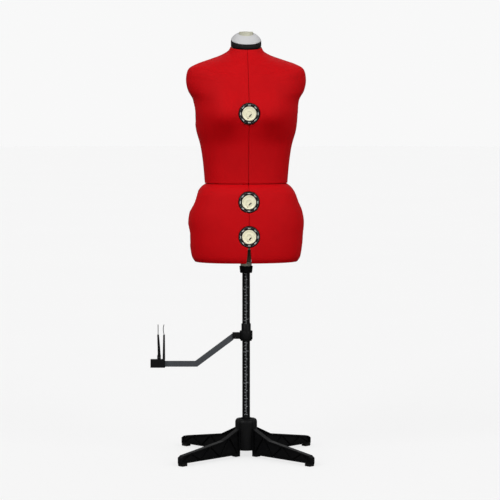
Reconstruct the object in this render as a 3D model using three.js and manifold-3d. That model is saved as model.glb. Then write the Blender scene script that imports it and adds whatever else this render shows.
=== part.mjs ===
// Adjustable dress form on a four-legged stand, with a hem marker on the pole.
// Millimetres, +Z up. The origin is on the floor under the pole; the form faces -Y.
// "left" is the -X side.
import * as THREE from 'three';
import { mergeVertices } from 'three/addons/utils/BufferGeometryUtils.js';
import Module from 'manifold-3d';

const wasm = await Module();
wasm.setup();

// ---------- driving dimensions ----------
const GAP = 0.4;                // clearance between neighbouring pieces
const STAND_TURN = -4.8;        // degrees the stand is turned under the form

const POLE = { r: 12.4, wall: 1.6, bottom: 25, top: 1180 };
const HUB = { r: 35, bottom: 21, shoulder: 92, top: 121, socket: 12.7, floor: 24.4 };
const LEG = { start: 35.5, bend: 108, end: 292, width: 17, web: 5, skin: 4, bottom: 9 };
const LEG_TOP = { root: 92, bend: 60, end: 34, nose: 27 };       // heights of a leg's upper edge
const LEG_NOSE = 10;                                             // length of a leg's rounded end
const LEG_HEEL = { reach: 54, bottom: 3 };                       // deeper end beside the hub
const TRUSS = [41, 80, 120, 162, 204, 246, 287];                 // ends of a leg's slanting ribs
const PAD = { inner: 267, outer: 290, width: 18, ridges: 3 };

const NUT = { bottom: 587, top: 608.6, rTop: 21.3, rBottom: 19, bore: 16 };
const MAST = { bore: 13.2, r: 16, lowerBottom: 621.6, lowerTop: 862, upperBottom: 885, upperTop: 1298 };
const ARM = { r: 5.5, bore: 3.4, boreDepth: 48, start: 14.2, sideStart: 11.2 };

const COVER = 2.5;              // foam-backed fabric between the shells and the outer surface
const SHELL = 3.5;              // wall of a moulded panel
const FLOOR = 5;                // floor of the cup that a dial sits in
const SEAM = 1.5;               // half the gap between neighbouring panels
const SIDE_Y = 12;              // the side seams and their dials sit this far behind the pole axis
const SEGMENTS = 24;            // points round the form

// Each dial level: height, and the distance of the dial seat from the pole axis on each side.
const LEVELS = {
  bust: { z: 1092, front: 112, back: 94, side: 149.5 },
  waist: { z: 816, front: 102, back: 98, side: 143 },
  hip: { z: 708, front: 110, back: 119, side: 167 },
};
const SECTIONS = { upper: ['bust'], lower: ['waist', 'hip'] };
const BEZEL = { r: 33, recess: 23, thick: 8.6, floor: 4, neck: 12, bore: 3.7, foot: 20 };
const CUP = { r: 35.2, wall: 3.4, hole: 13.4 };
const PINION = { teeth: 8, pitch: 10, tip: 11.8, root: 7.6, near: -12, far: -20 };
const RACK = { line: 12.4, back: 18.5, post: 26, end: 36, reach: 22 };
const DISC = { r: 22.2, near: 4.5, far: 7.4, shaft: 3.2, rod: 3, rodEnd: 50 };

const NECK = { a: 46.5, front: 44, back: 48, bottom: 1302.8, top: 1322, lowSlope: 0.2, topSlope: 0.34 };
const OVAL_POINTS = 22;         // points round the neck pieces
const CAP = { hole: 22.6, rim: 49, top: 1343.5, thick: 2.6, lip: 2.5, well: 8 };
const KNOB = { r: 22, bottom: 1333, top: 1349, stem: 5, stemEnd: 1312 };

const BUSH = { bore: 12.8, r: 15, bottom: 370, top: 425, lip: 18 };
const BRACKET = { bore: 15.4, r: 20.5, bottom: 374, top: 402, stub: 40, stubBottom: 376, stubTop: 396.5 };
const SCREW_Z = 388;            // height of the marker's thumbscrew
const ARM_BAR = { thick: 4.4, height: 18.5, rootZ: 384.2, runZ: 295.7, elbow: -158.8, end: -299 };
const SLIDER = { inner: -258.5, outer: -304.5, bottom: 284, top: 310, depth: 20 };
const JAW = { top: 389, depth: 8, pivotX: -277, pivotZ: 317, pin: 1.6, wireTop: 422, wire: 1.2 };

// Cross-sections of the covered form from top to bottom: [half width, side z, front depth, front z,
// back depth, back z, squareness]. The rings tilt towards the neck and lie flat below the bust.
const UPPER_RINGS = [
  [48.5, 1300, 47, 1291, 53, 1309, 2.0],
  [57.5, 1286, 54, 1275, 60, 1300, 2.0],
  [81, 1272, 62, 1260, 68, 1287, 2.0],
  [118, 1260.5, 72, 1244, 78, 1270, 2.0],
  [158, 1247, 82, 1222, 88, 1250, 2.0],
  [182, 1232, 88, 1205, 94, 1228, 2.0],
  [190, 1200, 94, 1183, 100, 1203, 2.0],
  [184, 1165, 100, 1158, 104, 1172, 2.1],
  [168, 1135, 108, 1132, 105, 1140, 2.2],
  [163.5, 1092, 114, 1092, 103, 1098, 2.3],
  [158, 1040, 106, 1040, 98, 1040, 2.3],
  [145, 992, 98, 992, 90, 992, 2.2],
  [137, 940, 94, 940, 84, 940, 2.2],
  [131, 874, 92, 874, 82, 874, 2.2],
];
const LOWER_RINGS = [
  [129, 871, 91, 871, 81, 871, 2.2],
  [143, 860, 101, 860, 92, 860, 2.2],
  [155, 842, 108, 842, 101, 842, 2.3],
  [167, 812, 113, 812, 112, 812, 2.3],
  [178, 784, 116, 784, 122, 784, 2.3],
  [183.5, 752, 118, 752, 128, 752, 2.3],
  [181, 712, 119, 712, 128, 712, 2.3],
  [178, 675, 118, 675, 123, 675, 2.3],
  [171, 637, 114, 637, 116, 637, 2.3],
  [163, 624.5, 108, 624.5, 109, 624.5, 2.3],
];
const BREAST = { x: 85, z: 1084, height: 24, width: 42, below: 36, above: 62 };
const SEAT_BULGE = { x: 72, z: 700, height: 5, width: 45, tall: 55 };

// ---------- materials ----------
const material = (color, roughness, metalness = 0) =>
  new THREE.MeshStandardMaterial({ color, roughness, metalness });
const FABRIC = material(0xbe080e, 0.9);
const BLACK = material(0x17171a, 0.45);
const IVORY = material(0xe1dabe, 0.4);
const GREY = material(0xc4c4c6, 0.45);
const BAND = material(0x1d1b1e, 0.8);
const TUBE = material(0x141416, 0.35, 0.3);
const RUBBER = material(0x101010, 0.95);
const STEEL_BAR = material(0x3c3e41, 0.45, 0.6);
const WIRE = material(0xc8cacc, 0.25, 1);

// ---------- closed solids ----------
const deg = (angle) => THREE.MathUtils.degToRad(angle);

function toSolid(geometry) {
  const bare = geometry.clone();
  bare.deleteAttribute('normal');
  bare.deleteAttribute('uv');
  const merged = mergeVertices(bare, 1e-4);
  const vertProperties = new Float32Array(merged.attributes.position.array);
  const triVerts = withoutSlivers(merged.index.array);
  if (signedVolume(vertProperties, triVerts) < 0) triVerts.reverse();
  return new wasm.Manifold(new wasm.Mesh({ numProp: 3, vertProperties, triVerts }));
}

function withoutSlivers(index) {
  const kept = [];
  for (let i = 0; i < index.length; i += 3) {
    const [a, b, c] = [index[i], index[i + 1], index[i + 2]];
    if (a !== b && b !== c && c !== a) kept.push(a, b, c);
  }
  return new Uint32Array(kept);
}

function signedVolume(points, triangles) {
  const corner = (i) => new THREE.Vector3().fromArray(points, 3 * triangles[i]);
  let volume = 0;
  for (let i = 0; i < triangles.length; i += 3) {
    volume += corner(i).dot(corner(i + 1).cross(corner(i + 2))) / 6;
  }
  return volume;
}

function toGeometry(solid) {
  const mesh = solid.getMesh();
  const points = new Float32Array(mesh.numVert * 3);
  for (let i = 0; i < mesh.numVert; i += 1) {
    for (let k = 0; k < 3; k += 1) points[3 * i + k] = mesh.vertProperties[i * mesh.numProp + k];
  }
  const geometry = new THREE.BufferGeometry();
  geometry.setAttribute('position', new THREE.BufferAttribute(points, 3));
  geometry.setIndex([...mesh.triVerts]);
  return geometry;
}

function box(x0, x1, y0, y1, z0, z1) {
  const geometry = new THREE.BoxGeometry(x1 - x0, y1 - y0, z1 - z0);
  return toSolid(geometry.translate((x0 + x1) / 2, (y0 + y1) / 2, (z0 + z1) / 2));
}

// Turned piece round Z from [radius, z] points; a profile off the axis closes on itself.
function turned(profile, segments = 24) {
  const points = profile.map(([r, z]) => new THREE.Vector2(r, z));
  const onAxis = profile[0][0] === 0;
  if (!onAxis) points.push(points[0].clone());
  return toSolid(new THREE.LatheGeometry(points, segments).rotateX(Math.PI / 2));
}

const tube = (inner, outer, z0, z1, segments) =>
  turned([[inner, z0], [outer, z0], [outer, z1], [inner, z1]], segments);
const rod = (r, z0, z1, segments) => turned([[0, z0], [r, z0], [r, z1], [0, z1]], segments);

// Flat plate from [x, y] points, between two heights.
function plate(outline, z0, z1) {
  const shape = new THREE.Shape(outline.map(([x, y]) => new THREE.Vector2(x, y)));
  const geometry = new THREE.ExtrudeGeometry(shape, { depth: z1 - z0, bevelEnabled: false });
  return toSolid(geometry.translate(0, 0, z0));
}

// Plate standing in the XZ plane from [x, z] points, centred on y.
function uprightPlate(outline, thick, y = 0) {
  const shape = new THREE.Shape(outline.map(([x, z]) => new THREE.Vector2(x, z)));
  const geometry = new THREE.ExtrudeGeometry(shape, { depth: thick, bevelEnabled: false });
  return toSolid(geometry.translate(0, 0, -thick / 2).rotateX(Math.PI / 2).translate(0, y, 0));
}

// Closed skin over rows of points; with poles the ends close on a centre point.
function skin(rows, poles) {
  const count = rows[0].length;
  const points = rows.flat();
  const index = [];
  const rowPairs = poles ? rows.length - 1 : rows.length;
  for (let i = 0; i < rowPairs; i += 1) {
    for (let j = 0; j < count; j += 1) {
      const a = i * count + j;
      const b = i * count + ((j + 1) % count);
      const c = ((i + 1) % rows.length) * count + j;
      const d = ((i + 1) % rows.length) * count + ((j + 1) % count);
      index.push(a, b, d, a, d, c);
    }
  }
  if (poles) {
    const last = (rows.length - 1) * count;
    const start = points.push(poles[0]) - 1;
    const finish = points.push(poles[1]) - 1;
    for (let j = 0; j < count; j += 1) {
      const next = (j + 1) % count;
      index.push(start, next, j, finish, last + j, last + next);
    }
  }
  const geometry = new THREE.BufferGeometry().setFromPoints(points);
  geometry.setIndex(index);
  return toSolid(geometry);
}

const place = (solid, matrix) => solid.transform(matrix.elements);

// ---------- torso surface ----------
const bell = (distance, width) => Math.exp(-(distance * distance) / (2 * width * width));

function breast(x, z) {
  const tall = z < BREAST.z ? BREAST.below : BREAST.above;
  const across = bell(x - BREAST.x, BREAST.width) + bell(x + BREAST.x, BREAST.width);
  return BREAST.height * across * bell(z - BREAST.z, tall);
}

function seatBulge(x, z) {
  const across = bell(x - SEAT_BULGE.x, SEAT_BULGE.width) + bell(x + SEAT_BULGE.x, SEAT_BULGE.width);
  return SEAT_BULGE.height * across * bell(z - SEAT_BULGE.z, SEAT_BULGE.tall);
}

function torsoPoint([a, sideZ, front, frontZ, back, backZ, squareness], angle) {
  const c = Math.cos(angle);
  const s = Math.sin(angle);
  const x = a * Math.sign(c) * Math.abs(c) ** (2 / squareness);
  const depth = Math.abs(s) ** (2 / squareness);
  const tilted = frontZ < sideZ && sideZ < backZ;
  const z = sideZ + ((s < 0 ? frontZ : backZ) - sideZ) * Math.abs(s) ** (tilted ? 1 : 2);
  const y = s < 0 ? -front * depth - breast(x, z) * depth : back * depth + seatBulge(x, z) * depth;
  return new THREE.Vector3(x, y, z);
}

function torsoRows(rings) {
  const angles = Array.from({ length: SEGMENTS }, (_, j) => (2 * Math.PI * j) / SEGMENTS);
  return rings.map((ring) => angles.map((angle) => torsoPoint(ring, angle)));
}

function insetRows(rows, distance) {
  const count = rows[0].length;
  return rows.map((row, i) => row.map((point, j) => {
    const up = rows[Math.max(i - 1, 0)][j];
    const down = rows[Math.min(i + 1, rows.length - 1)][j];
    const along = row[(j + 1) % count].clone().sub(row[(j + count - 1) % count]);
    const normal = along.cross(up.clone().sub(down)).normalize();
    return point.clone().addScaledVector(normal, -distance);
  }));
}

// The same rows run on past both ends, so that a hollow made from them is open there.
function extendedRows(rows) {
  const above = rows[0].map((point) => point.clone().add(new THREE.Vector3(0, 0, 15)));
  const below = rows.at(-1).map((point) => point.clone().add(new THREE.Vector3(0, 0, -15)));
  return [above, ...rows, below];
}

function closedTorso(rows) {
  const middle = (row) => row.reduce((sum, p) => sum.add(p), new THREE.Vector3()).divideScalar(row.length);
  return skin(rows, [middle(rows[0]), middle(rows.at(-1))]);
}

// ---------- dial stations ----------
// A station's frame: X along the panels' travel, Y up, Z straight out of the form.
const SIDES = {
  front: { out: new THREE.Vector3(0, -1, 0), seat: 'front' },
  back: { out: new THREE.Vector3(0, 1, 0), seat: 'back' },
  left: { out: new THREE.Vector3(-1, 0, 0), seat: 'side' },
  right: { out: new THREE.Vector3(1, 0, 0), seat: 'side' },
};

function stationsOf(section) {
  return SECTIONS[section].flatMap((level) => Object.keys(SIDES).map((side) => {
    const { out, seat } = SIDES[side];
    const distance = LEVELS[level][seat];
    const up = new THREE.Vector3(0, 0, 1);
    const matrix = new THREE.Matrix4().makeBasis(up.clone().cross(out), up, out);
    const y = seat === 'side' ? SIDE_Y : out.y * distance;
    matrix.setPosition(out.x * distance, y, LEVELS[level].z);
    return { level, side, distance, matrix };
  }));
}

function bezel() {
  const { r, recess, thick, floor, neck, bore, foot } = BEZEL;
  return turned([
    [bore, -8], [foot, -8], [foot, -6], [neck, -6], [neck, GAP], [r, GAP],
    [r - 1.5, thick], [recess, thick], [recess, floor], [bore, floor],
  ], 16);
}

function pinion() {
  const { teeth, tip, root, near, far } = PINION;
  const outline = [];
  for (let i = 0; i < teeth; i += 1) {
    const middle = (2 * Math.PI * i) / teeth + Math.PI / 2;
    for (const [r, half] of [[root, 1.7], [tip, 0.7], [tip, -0.7], [root, -1.7]]) {
      const angle = middle - half / r;
      outline.push([r * Math.cos(angle), r * Math.sin(angle)]);
    }
  }
  return plate(outline, far, near);
}

function dial(distance) {
  const face = rod(DISC.r, DISC.near, DISC.far, 16);
  const shaft = rod(DISC.shaft, PINION.near - 1, DISC.near + 0.5, 6);
  const spindle = rod(DISC.rod, DISC.rodEnd - distance, PINION.far + 0.5, 6);
  return face.add(shaft).add(pinion()).add(spindle);
}

// Toothed tongue that reaches from the panel on the -X side of a station across its pinion.
function tongue() {
  const { line, back, post, end, reach } = RACK;
  const pitch = (2 * Math.PI * PINION.pitch) / PINION.teeth;
  const outline = [[-end, back], [-end, line]];
  for (let i = 0; i < 3; i += 1) {
    const x = pitch * (i - 0.5);
    outline.push([x - 1.7, line], [x - 0.6, line - 3.6], [x + 0.6, line - 3.6], [x + 1.7, line]);
  }
  outline.push([reach, line], [reach, back]);
  const bar = plate(outline, PINION.far, PINION.near);
  return bar.add(box(-end, -post, line, back, PINION.near - 0.5, -FLOOR + 0.5));
}

// Recessed cup that carries the bezel, with a round hole for its neck.
function addCup(shell, body, station) {
  const outside = 40;
  const cup = place(rod(CUP.r + CUP.wall, -FLOOR, outside, 14), station.matrix).intersect(body);
  const well = place(rod(CUP.r, 0, outside, 14), station.matrix);
  const hole = place(rod(CUP.hole, -FLOOR - 2, 1, 10), station.matrix);
  const footRoom = place(rod(BEZEL.foot + 2, -FLOOR - 8, -FLOOR, 12), station.matrix);
  return shell.add(cup).subtract(well).subtract(hole).subtract(footRoom);
}

// ---------- panels ----------
const QUARTERS = { front_left: [-1, -1], front_right: [1, -1], back_left: [-1, 1], back_right: [1, 1] };

function quarterBox([sx, sy], z0, z1) {
  const far = 260;
  const span = (sign, middle) => (sign < 0 ? [-far, middle - SEAM] : [middle + SEAM, far]);
  return box(...span(sx, 0), ...span(sy, SIDE_Y), z0, z1);
}

// Opening at the bottom of the front seam, widening towards the hem.
function hemSlit() {
  const outline = [[-9, 600], [9, 600], [8.6, 624], [5, 668], [-5, 668], [-8.6, 624]];
  return uprightPlate(outline, 120, -100);
}

function sectionShell(rings, stations) {
  const rows = torsoRows(rings);
  const body = closedTorso(insetRows(rows, COVER));
  const hollow = closedTorso(extendedRows(insetRows(rows, COVER + SHELL)));
  return stations.reduce((shell, station) => addCup(shell, body, station), body.subtract(hollow));
}

// The tongue of a quarter at a station, if the quarter meets that station.
function tongueFor([sx, sy], station) {
  const across = station.side === 'front' || station.side === 'back';
  const meets = { front: sy < 0, back: sy > 0, left: sx < 0, right: sx > 0 }[station.side];
  if (!meets) return null;
  const travel = new THREE.Vector3().setFromMatrixColumn(station.matrix, 0);
  const onNearSide = (across ? travel.x * sx : travel.y * sy) < 0;
  const turn = new THREE.Matrix4().makeRotationZ(onNearSide ? 0 : Math.PI);
  return place(place(tongue(), turn), station.matrix);
}

function panels(section, rings) {
  const stations = stationsOf(section);
  let shell = sectionShell(rings, stations);
  if (section === 'lower') shell = shell.subtract(hemSlit());
  return Object.entries(QUARTERS).map(([name, signs]) => {
    let panel = shell.intersect(quarterBox(signs, 500, 1400));
    for (const station of stations) {
      const rack = tongueFor(signs, station);
      if (rack) panel = panel.add(rack);
    }
    return part(`${section}_panel_${name}`, panel, FABRIC);
  });
}

// ---------- masts ----------
// Sleeve on the pole with a tubular arm towards each dial; the dial spindles slide in the arms.
function mast(z0, z1, section) {
  let solid = tube(MAST.bore, MAST.r, z0, z1, 24);
  for (const station of stationsOf(section)) {
    const start = SIDES[station.side].seat === 'side' ? ARM.sideStart : ARM.start;
    const outer = -26;
    const arm = rod(ARM.r, start - station.distance, outer, 8);
    const bore = rod(ARM.bore, ARM.boreDepth - station.distance, outer + 1, 8);
    solid = solid.add(place(arm, station.matrix)).subtract(place(bore, station.matrix));
  }
  return solid;
}

function upperMast() {
  const { upperBottom, upperTop, r } = MAST;
  const sleeve = mast(upperBottom, upperTop - 8, 'upper');
  return sleeve.add(turned([[0, upperTop - 12], [r, upperTop - 12], [20, upperTop - 6],
    [20, upperTop], [0, upperTop]], 24));
}

// ---------- neck ----------
function ovalRow(a, front, back, height, slope) {
  return Array.from({ length: OVAL_POINTS }, (_, j) => {
    const angle = (2 * Math.PI * j) / OVAL_POINTS;
    const y = Math.sin(angle) * (Math.sin(angle) < 0 ? front : back);
    return new THREE.Vector3(a * Math.cos(angle), y, height + slope * y);
  });
}

function neckBand() {
  const { a, front, back, bottom, top, lowSlope, topSlope } = NECK;
  const wall = 3;
  const floor = 3;
  const inside = [a - wall, front - wall, back - wall];
  const rows = [
    ovalRow(a, front, back, bottom, lowSlope),
    ovalRow(a, front, back, top, topSlope),
    ovalRow(...inside, top, topSlope),
    ovalRow(...inside, bottom + floor, lowSlope),
  ];
  return skin(rows, [new THREE.Vector3(0, 0, bottom), new THREE.Vector3(0, 0, bottom + floor)]);
}

// Dome over the neck band, tilted with it, with a round well for the knob.
function neckCap() {
  const { hole, rim, top, thick, lip, well } = CAP;
  const base = NECK.top + thick;
  const crown = (share) => base + (top - base) * (1 - share ** 2.4);
  const row = (share, drop) => ovalRow(rim * share, (NECK.front + lip) * share, (NECK.back + lip) * share,
    crown(share) - drop, NECK.topSlope);
  const shares = [1, 0.92, 0.76, 0.6];
  const outside = shares.map((share) => row(share, 0));
  const inside = shares.slice(1).reverse().map((share) => row(share, thick));
  const edge = row(1, 2);
  const wellRow = (depth) => ovalRow(hole, hole, hole, crown(hole / rim) - depth, NECK.topSlope);
  return skin([edge, ...outside, wellRow(0), wellRow(well), ...inside], null);
}

function neckKnob() {
  const { r, bottom, top, stem, stemEnd } = KNOB;
  return turned([[0, stemEnd], [stem, stemEnd], [stem, bottom], [r - 1, bottom], [r, bottom + 2],
    [r, top - 1.5], [r - 1.5, top], [0, top]], 20);
}

// ---------- stand ----------
function hub() {
  const { r, bottom, shoulder, top, socket, floor } = HUB;
  const cap = turned([
    [0, bottom], [r, bottom], [r, top - 10], [r - 2, top - 4], [r - 6, top], [r - 11, top],
    [r - 18, top - 4], [socket, top - 9], [socket, floor], [0, floor],
  ], 32);
  const groove = rod(4, shoulder + 1, top + 1, 10);
  return [45, 135, 225, 315].reduce((solid, angle) => solid.subtract(
    groove.translate([r * Math.cos(deg(angle)), r * Math.sin(deg(angle)), 0]),
  ), cap);
}

// Height of a leg's upper edge at a distance from the pole axis.
function legTop(r) {
  const { start, bend, end } = LEG;
  const { root, bend: middle, end: low } = LEG_TOP;
  if (r < bend) return root + ((middle - root) * (r - start)) / (bend - start);
  return middle + ((low - middle) * (r - bend)) / (end - LEG_NOSE - bend);
}

// Slanting ribs between a leg's upper and lower flanges.
function truss(low) {
  const half = 1.6;
  const bars = TRUSS.slice(1).map((r1, i) => {
    const r0 = TRUSS[i];
    const [z0, z1] = i % 2 ? [legTop(r0) - LEG.skin + 1, low] : [low, legTop(r1) - LEG.skin + 1];
    return uprightPlate([[r0 - half, z0], [r0 + half, z0], [r1 + half, z1], [r1 - half, z1]], LEG.width - 3);
  });
  return bars.reduce((joined, bar) => joined.add(bar));
}

function leg() {
  const { start, bend, end, width, web, skin: flange, bottom } = LEG;
  const { reach, bottom: heel } = LEG_HEEL;
  const { root, bend: middle, end: tip, nose } = LEG_TOP;
  const upper = [[start, root], [bend, middle], [end - LEG_NOSE, tip], [end, nose]];
  const lower = [[end, bottom], [reach + 8, bottom], [reach, heel], [start, heel]];
  const outline = [...upper, ...lower];
  const [near, far, low] = [start + 5, end - 5, bottom + flange];
  const hollow = [[near, low], [far, low], [far, nose - 2], [far - 6, legTop(far - 6) - flange],
    [bend, middle - flange], [near, legTop(near) - flange]];
  const frame = uprightPlate(outline, width).subtract(uprightPlate(hollow, width + 2));
  return frame.add(uprightPlate(outline, web)).add(truss(low - 1));
}

function pad() {
  const { inner, outer, width, ridges } = PAD;
  const height = LEG.bottom - GAP;
  const outline = [[inner, height], [inner, 1.8]];
  const step = (outer - inner) / ridges;
  for (let i = 0; i < ridges; i += 1) {
    const x = inner + step * i;
    outline.push([x + 1.5, 0], [x + step - 3, 0], [x + step - 1.5, 1.8]);
  }
  outline.push([outer, 1.8], [outer, height]);
  return uprightPlate(outline, width);
}

function lockCollar() {
  return turned([[12.8, 590], [15.5, 590], [15.5, 609], [17.8, 609], [17.8, 617], [22, 617],
    [22, 621], [12.8, 621]], 18);
}

function lockNut() {
  const { bottom, top, rTop, rBottom, bore } = NUT;
  let solid = turned([[bore, bottom], [rBottom, bottom], [rTop, top - 3], [rTop, top], [bore, top]], 24);
  for (let i = 0; i < 8; i += 1) {
    const angle = (i * Math.PI) / 4;
    const flute = rod(2.2, bottom - 1, top - 4, 5);
    const [x, y] = [(rTop + 0.8) * Math.cos(angle), (rTop + 0.8) * Math.sin(angle)];
    solid = solid.subtract(flute.translate([x, y, 0]));
  }
  return solid;
}

// ---------- hem marker ----------
function markerBush() {
  const { bore, r, bottom, top, lip } = BUSH;
  return turned([[bore, bottom], [lip, bottom], [lip, bottom + 3.5], [r, bottom + 3.5],
    [r, top], [bore, top]], 18);
}

function markerBracket() {
  const { bore, r, bottom, top, stub, stubBottom, stubTop } = BRACKET;
  const ring = tube(bore, r, bottom, top, 24);
  const arm = box(-stub, -r + 2, -8, 8, stubBottom, stubTop);
  const screwBoss = rod(7, r - 2, r + 5, 12).rotate([-90, 0, 0]).translate([0, 0, SCREW_Z]);
  const screwHole = rod(3.3, bore - 2, r + 6, 12).rotate([-90, 0, 0]).translate([0, 0, SCREW_Z]);
  return ring.add(arm).add(screwBoss).subtract(screwHole);
}

function thumbscrew() {
  const start = BRACKET.r + 5 + GAP;
  let solid = turned([[0, 15.8], [2.9, 15.8], [2.9, start], [9, start], [9, start + 8],
    [6, start + 12], [0, start + 12]], 12);
  for (const side of [-1, 1]) {
    solid = solid.add(box(side * 11 - 4, side * 11 + 4, -1.8, 1.8, start + 2, start + 11));
  }
  return solid.rotate([-90, 0, 0]).translate([0, 0, SCREW_Z]);
}

// Flat bar bent on edge: it slopes down from the bracket and then runs level.
function markerArm() {
  const { thick, height, rootZ, runZ, elbow, end } = ARM_BAR;
  const start = -BRACKET.stub - GAP;
  const half = height / 2;
  const slope = Math.atan2(rootZ - runZ, start - elbow);
  const rise = half / Math.cos(slope);
  const shift = half * Math.tan(slope / 2);
  return uprightPlate([
    [start, rootZ + rise], [elbow - shift, runZ + half], [end, runZ + half],
    [end, runZ - half], [elbow + shift, runZ - half], [start, rootZ - rise],
  ], thick);
}

function markerSlider() {
  const { inner, outer, bottom, top, depth } = SLIDER;
  const { pivotX, pivotZ, pin } = JAW;
  const half = depth / 2;
  const slot = ARM_BAR.height / 2 + GAP;
  let solid = box(outer, inner, -half, half, bottom, top);
  const free = ARM_BAR.thick / 2 + GAP;
  const { runZ } = ARM_BAR;
  solid = solid.subtract(box(outer - 1, inner + 1, -free, free, runZ - slot, runZ + slot));
  for (const side of [-1, 1]) {
    const y = side * (half - 2.5);
    solid = solid.add(box(pivotX - 6, pivotX + 5, y - 2.5, y + 2.5, top - 1, pivotZ + 6));
  }
  const hole = rod(pin + 0.3, -half - 1, half + 1, 10).rotate([90, 0, 0]).translate([pivotX, 0, pivotZ]);
  return solid.subtract(hole);
}

function innerJaw() {
  const { top, depth } = JAW;
  const foot = SLIDER.top + GAP;
  const waist = (foot + top) / 2;
  const outline = [[-266, foot], [-258, foot], [-258.2, waist], [-258.6, top], [-264, top], [-265, waist]];
  return uprightPlate(outline, depth);
}

function outerJaw() {
  const { top, depth, pivotX, pivotZ, pin } = JAW;
  const outline = [[4.6, -3], [4.6, 6], [3, 33], [-0.4, top - pivotZ], [-6, top - pivotZ],
    [-5, 33], [-4.6, 2], [-2, -5.5], [2, -5.5]].map(([x, z]) => [pivotX + x, pivotZ + z]);
  const hole = rod(pin + 0.3, -depth, depth, 10).rotate([90, 0, 0]).translate([pivotX, 0, pivotZ]);
  return uprightPlate(outline, depth).subtract(hole);
}

function jawPin() {
  const { pin, pivotX, pivotZ } = JAW;
  const half = SLIDER.depth / 2 + 1;
  return rod(pin, -half, half, 10).rotate([90, 0, 0]).translate([pivotX, 0, pivotZ]);
}

// Bent wire guide standing on a jaw's tip.
function wireGuide(x, bow) {
  const { top, wireTop, wire } = JAW;
  const foot = top + GAP;
  const route = new THREE.QuadraticBezierCurve3(
    new THREE.Vector3(x, 0, foot),
    new THREE.Vector3(x + bow, 0, (foot + wireTop) / 2),
    new THREE.Vector3(x, 0, wireTop),
  );
  const circle = new THREE.Path().absarc(0, 0, wire, 0, 2 * Math.PI);
  const section = new THREE.Shape(circle.getPoints(6).slice(0, 6));
  return toSolid(new THREE.ExtrudeGeometry(section, { steps: 6, extrudePath: route, bevelEnabled: false }));
}

// ---------- assembly ----------
function part(name, solid, look) {
  const mesh = new THREE.Mesh(toGeometry(solid), look);
  mesh.name = name;
  return mesh;
}

function buildStand() {
  const stand = new THREE.Group();
  stand.rotation.z = deg(STAND_TURN);
  stand.add(part('base_hub', hub(), BLACK));
  stand.add(part('pole_tube', tube(POLE.r - POLE.wall, POLE.r, POLE.bottom, POLE.top, 24), TUBE));
  const corners = { front_left: -135, front_right: -45, back_right: 45, back_left: 135 };
  for (const [corner, angle] of Object.entries(corners)) {
    const turn = new THREE.Group();
    turn.rotation.z = deg(angle);
    turn.add(part(`leg_${corner}`, leg(), BLACK));
    turn.add(part(`foot_pad_${corner}`, pad(), RUBBER));
    stand.add(turn);
  }
  return stand;
}

function buildMarker() {
  const marker = new THREE.Group();
  marker.rotation.z = deg(STAND_TURN);
  marker.add(part('marker_bush', markerBush(), BLACK));
  marker.add(part('marker_bracket', markerBracket(), BLACK));
  marker.add(part('marker_thumbscrew', thumbscrew(), BLACK));
  marker.add(part('marker_arm', markerArm(), STEEL_BAR));
  marker.add(part('marker_slider', markerSlider(), BLACK));
  marker.add(part('marker_inner_jaw', innerJaw(), BLACK));
  marker.add(part('marker_outer_jaw', outerJaw(), BLACK));
  marker.add(part('marker_jaw_pin', jawPin(), WIRE));
  marker.add(part('marker_inner_wire', wireGuide(-261, -4), WIRE));
  marker.add(part('marker_outer_wire', wireGuide(-280.3, 0.5), WIRE));
  return marker;
}

function buildTorso() {
  const torso = new THREE.Group();
  torso.add(part('lock_collar', lockCollar(), IVORY));
  torso.add(part('lock_nut', lockNut(), BLACK));
  torso.add(part('lower_mast', mast(MAST.lowerBottom, MAST.lowerTop, 'lower'), IVORY));
  torso.add(part('upper_mast', upperMast(), IVORY));
  torso.add(part('neck_band', neckBand(), BAND));
  torso.add(part('neck_cap', neckCap(), GREY));
  torso.add(part('neck_knob', neckKnob(), IVORY));
  torso.add(...panels('upper', UPPER_RINGS), ...panels('lower', LOWER_RINGS));
  for (const station of [...stationsOf('upper'), ...stationsOf('lower')]) {
    const name = `${station.level}_${station.side}`;
    torso.add(part(`${name}_bezel`, place(bezel(), station.matrix), BLACK));
    torso.add(part(`${name}_dial`, place(dial(station.distance), station.matrix), IVORY));
  }
  return torso;
}

const group = new THREE.Group();
group.add(buildStand(), buildMarker(), buildTorso());
export default group;
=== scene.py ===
"""Looks of the adjustable dress form: fabric covers, dials, neck, stand and hem marker.

Lengths in the tables are millimetres and are multiplied by MM where meshes are made.
The form faces -Y, "left" is -X, and the origin is on the floor under the pole.
"""
import math

import bmesh
import bpy
import numpy as np
from mathutils import Matrix, Vector


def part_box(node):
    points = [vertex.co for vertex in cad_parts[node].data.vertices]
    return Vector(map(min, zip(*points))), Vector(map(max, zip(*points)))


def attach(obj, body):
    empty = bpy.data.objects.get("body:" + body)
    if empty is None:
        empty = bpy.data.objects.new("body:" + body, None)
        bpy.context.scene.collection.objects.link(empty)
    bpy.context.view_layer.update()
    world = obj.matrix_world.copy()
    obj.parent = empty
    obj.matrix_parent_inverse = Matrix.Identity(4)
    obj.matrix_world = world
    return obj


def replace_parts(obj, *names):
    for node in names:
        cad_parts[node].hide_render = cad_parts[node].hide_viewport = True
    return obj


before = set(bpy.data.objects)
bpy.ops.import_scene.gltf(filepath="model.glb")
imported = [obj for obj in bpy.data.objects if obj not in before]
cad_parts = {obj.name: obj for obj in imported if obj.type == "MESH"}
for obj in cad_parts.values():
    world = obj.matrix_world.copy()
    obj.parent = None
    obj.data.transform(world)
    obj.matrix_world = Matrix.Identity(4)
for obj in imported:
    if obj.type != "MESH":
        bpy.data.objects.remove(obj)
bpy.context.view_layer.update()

MM = 0.001
UP = Vector((0, 0, 1))
STAND_TURN = math.radians(-4.8)
STAND_MATRIX = Matrix.Rotation(STAND_TURN, 4, "Z")


# ---------- small tools ----------

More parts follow.
